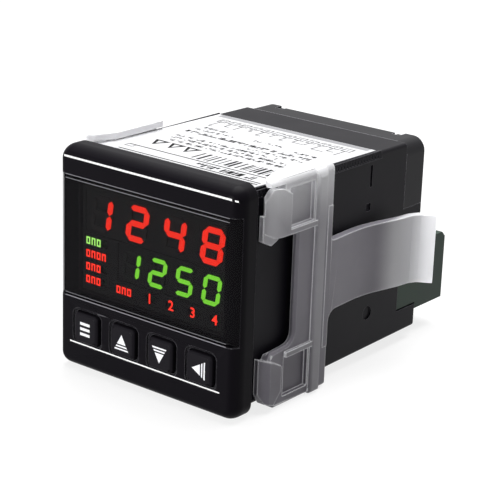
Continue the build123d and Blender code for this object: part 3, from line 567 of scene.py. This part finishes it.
def boxMarks(random):
    # A row of outlined boxes, each with a fine lead towards the front, and most leads with a turn at the end.
    v = labelPrint
    y0, y1 = v["boxY"]
    line = v["boxLine"]
    boxes = []
    for number in range(v["boxes"]):
        x0 = v["boxX"] + number * v["boxPitch"]
        x1 = x0 + v["boxWide"]
        boxes += [rectangle(x0, x1, y0, y0 + line), rectangle(x0, x1, y1 - line, y1)]
        boxes += [rectangle(x0, x0 + line, y0, y1), rectangle(x1 - line, x1, y0, y1)]
        lead = random.uniform(*v["leadY"])
        middle = (x0 + x1) / 2
        boxes.append(rectangle(middle - v["leadHalf"], middle + v["leadHalf"], lead, y0))
        if number % 3 != 2:
            boxes.append(rectangle(middle, middle + random.uniform(1.0, 3.0), lead, lead + line))
    return boxes


def triangleMarks():
    # Outlined triangles side by side, each from three bars with mitred ends, points to the front.
    v = labelPrint
    t = v["markLine"]
    y0 = v["markY"]
    y1 = y0 + v["markSide"]
    marks = []
    for x0 in v["marksX"]:
        x1, xm = x0 + v["markSide"], x0 + v["markSide"] / 2
        marks.append([(x0, y1), (x0 + t, y1 - t), (x1 - t, y1 - t), (x1, y1)])
        marks.append([(x0, y1), (xm, y0), (xm, y0 + t * 2), (x0 + t * 1.6, y1 - t * 0.4)])
        marks.append([(x1, y1), (x1 - t * 1.6, y1 - t * 0.4), (xm, y0 + t * 2), (xm, y0)])
    return marks


def printLabel():
    # A comb of dots, rules, a small tab, bars, rows of strokes, boxes with leads, a bare strip, triangles, numerals.
    v = labelPrint
    random = np.random.default_rng(v["seed"])
    half, rear, wide, dot, dotFront = (v[k] for k in ("half", "ruleRear", "ruleWidth", "dot", "dotFront"))
    patches = [
        rectangle(v["dotX"][0], half, v["ruleFront"], v["ruleFront"] + wide),
        rectangle(-17.4, half, rear, rear + wide),
        rectangle(-17.4, -17.2, rear - 1.3, rear),
        rectangle(-17.4, -15.2, rear - 1.4, rear - 1.2),
        rectangle(-15.4, -15.2, rear - 1.3, rear),
    ]
    patches += barMarks(random)
    patches += [rectangle(x, x + 0.8 * dot, dotFront, dotFront + dot) for x in np.arange(*v["dotX"], dot)]
    for row in v["rows"]:
        patches += labelRow(random, *row)
    patches += boxMarks(random)
    addPatches("label_print", onLabel(patches), blackInk, "controller")
    strip = rectangle(-v["stripHalf"], v["stripHalf"], v["stripFront"], v["stripRear"])
    addPatches("label_strip", [onLabel(strip)], paleStrip, "controller")
    addPatches("label_marks", onLabel(triangleMarks()), blackInk, "controller")
    y = sum(v["boxY"]) / 2
    middles = [v["boxX"] + number * v["boxPitch"] + v["boxWide"] / 2 for number in range(v["boxes"])]
    numerals = [(str(v["boxes"] - number), x, y, labelHeight(y)) for number, x in enumerate(middles)]
    addWords("label_numbers", numerals, v["numeral"], blackInk, "controller", Matrix.Rotation(math.pi, 4, "Z"))


litSigns = dict(
    front=-3.012, height=1.6, rowZ=-4.6, places=(-0.6, 5.1, 10.8, 16.5), numeral=2.1, weight=0.05,
    columnX=-18.2, rows=(4.0, 1.2, -1.6, -4.4), counts=(4, 3, 3), output=-9.65, cell=1.1, gap=0.36, slot=0.34,
)


def blockRow(x0, z, count):
    # A short row of lit blocks, each with a dark slot so that it reads as a small sign.
    v = litSigns
    half = v["height"] / 2
    slot = v["slot"]
    blocks = []
    for number in range(count):
        left = x0 + number * (v["cell"] + v["gap"])
        right = left + v["cell"]
        blocks += [rectangle(left, left + slot, z - half, z + half), rectangle(right - slot, right, z - half, z + half)]
        blocks.append(rectangle(left + slot, right - slot, z + half - slot, z + half))
        if number % 2 == 0:
            blocks.append(rectangle(left + slot, right - slot, z - half, z - half + slot))
    return blocks


def printSigns():
    # Lit numerals 1 to 4 in a row, and rows of small lit blocks in the column and beside it.
    v = litSigns
    numerals = [(str(n + 1), x, v["front"], v["rowZ"]) for n, x in enumerate(v["places"])]
    row = addWords("numbered_signs", numerals, v["numeral"], redSign, "controller", facingFront, v["weight"])
    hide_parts("numbered_lamps")
    first = blockRow(v["columnX"], v["rows"][0], 3)
    green = addPatches("green_sign", onFront(first, v["front"]), greenSign, "controller")
    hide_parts("green_lamp")
    blocks = []
    for z, count in zip(v["rows"][1:], v["counts"]):
        blocks += blockRow(v["columnX"], z, count)
    blocks += blockRow(v["output"], v["rowZ"], 3)
    red = addPatches("red_signs", onFront(blocks, v["front"]), redSign, "controller")
    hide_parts("red_lamps")


printBezel()
printKeys()
printSigns()
printLabel()
print("printing done")


# Floor, light and camera

stageSizes = dict(floorHalf=1.5, floorZ=-24.3, floorColour="#787878", floorLift=0.80)


def seenRays(tree):
    # 1 where the background is seen directly, mirrored or looked through, otherwise 0.
    path = addNode(tree, "LightPath").outputs
    seen = addNode(tree, "Math", {"operation": "MAXIMUM"}, i0=path["Is Camera Ray"], i1=path["Is Glossy Ray"])
    seen = addNode(tree, "Math", {"operation": "MAXIMUM"}, i0=seen.outputs[0], i1=path["Is Transmission Ray"])
    return seen.outputs[0]


def makeFloor():
    # A flat sheet, grey in itself. Where it is seen it is lifted to white, and it keeps the shadow.
    half = stageSizes["floorHalf"]
    z = stageSizes["floorZ"] * mm
    mesh = bpy.data.meshes.new("floor")
    mesh.from_pydata([(-half, -half, z), (half, -half, z), (half, half, z), (-half, half, z)], [], [(0, 1, 2, 3)])
    floor = bpy.data.objects.new("floor", mesh)
    bpy.context.scene.collection.objects.link(floor)
    material, tree, shader, place = startMaterial("paintedBoardMatt", stageSizes["floorColour"], 0.9)
    lift = addNode(tree, "Math", {"operation": "MULTIPLY"}, i0=seenRays(tree), i1=stageSizes["floorLift"])
    shader.inputs["Emission Color"].default_value = (1, 1, 1, 1)
    tree.links.new(lift.outputs[0], shader.inputs["Emission Strength"])
    mesh.materials.append(material)


worldLevel = dict(seen=1.0, ambient=0.07)


def makeWorld():
    # White where it is seen, mirrored or looked through, and a plain level of light otherwise.
    world = bpy.data.worlds.new("studio")
    world.use_nodes = True
    bpy.context.scene.world = world
    tree = world.node_tree
    tree.nodes.clear()
    level = addNode(tree, "MapRange", Value=seenRays(tree), To_Min=worldLevel["ambient"], To_Max=worldLevel["seen"])
    back = addNode(tree, "Background", Color=(1, 1, 1, 1), Strength=level.outputs[0])
    addNode(tree, "OutputWorld", Surface=back.outputs[0])


lamps = {
    "overhead": dict(place=(-0.05, 0.18, 0.60), aim=(0, 0.03, 0), size=0.55, power=7.8),
    "front": dict(place=(-0.14, -0.95, 0.22), aim=(0, 0.02, 0), size=0.36, power=9.0),
    "side": dict(place=(0.75, 0.05, 0.30), aim=(0, 0.03, 0), size=0.40, power=0.05),
}


def makeLamps():
    # Square soft boxes, each turned to its aim.
    for name, values in lamps.items():
        light = bpy.data.lights.new(name, "AREA")
        light.shape = "SQUARE"
        light.size = values["size"]
        light.energy = values["power"]
        lamp = bpy.data.objects.new(name, light)
        lamp.location = values["place"]
        lamp.rotation_euler = (Vector(values["place"]) - Vector(values["aim"])).to_track_quat("Z", "Y").to_euler()
        bpy.context.scene.collection.objects.link(lamp)


cameraSizes = dict(
    yaw=38.15, pitch=18.58, roll=2.06, aside=17.72, above=5.03, distance=346.0, lens=123.63, sensor=36.0,
)


def makeCamera():
    # Stands round the object by yaw and pitch, leans by roll, and is moved aside and up in its own view.
    c = cameraSizes
    yaw, pitch, roll = (math.radians(c[k]) for k in ("yaw", "pitch", "roll"))
    back = Vector((math.sin(yaw) * math.cos(pitch), -math.cos(yaw) * math.cos(pitch), math.sin(pitch)))
    right = Vector((math.cos(yaw), math.sin(yaw), 0))
    up = back.cross(right)
    leanRight = right * math.cos(roll) + up * math.sin(roll)
    leanUp = up * math.cos(roll) - right * math.sin(roll)
    place = (leanRight * c["aside"] + leanUp * c["above"] + back * c["distance"]) * mm
    data = bpy.data.cameras.new("camera")
    data.lens = c["lens"]
    data.sensor_width = c["sensor"]
    data.clip_start = 0.01
    camera = bpy.data.objects.new("camera", data)
    turn = Matrix((leanRight, leanUp, back)).transposed()
    camera.matrix_world = Matrix.Translation(place) @ turn.to_4x4()
    bpy.context.scene.collection.objects.link(camera)
    bpy.context.scene.camera = camera


makeFloor()
makeWorld()
makeLamps()
makeCamera()
bpy.context.scene.view_settings.view_transform = "Standard"
print("floor, light and camera ready")
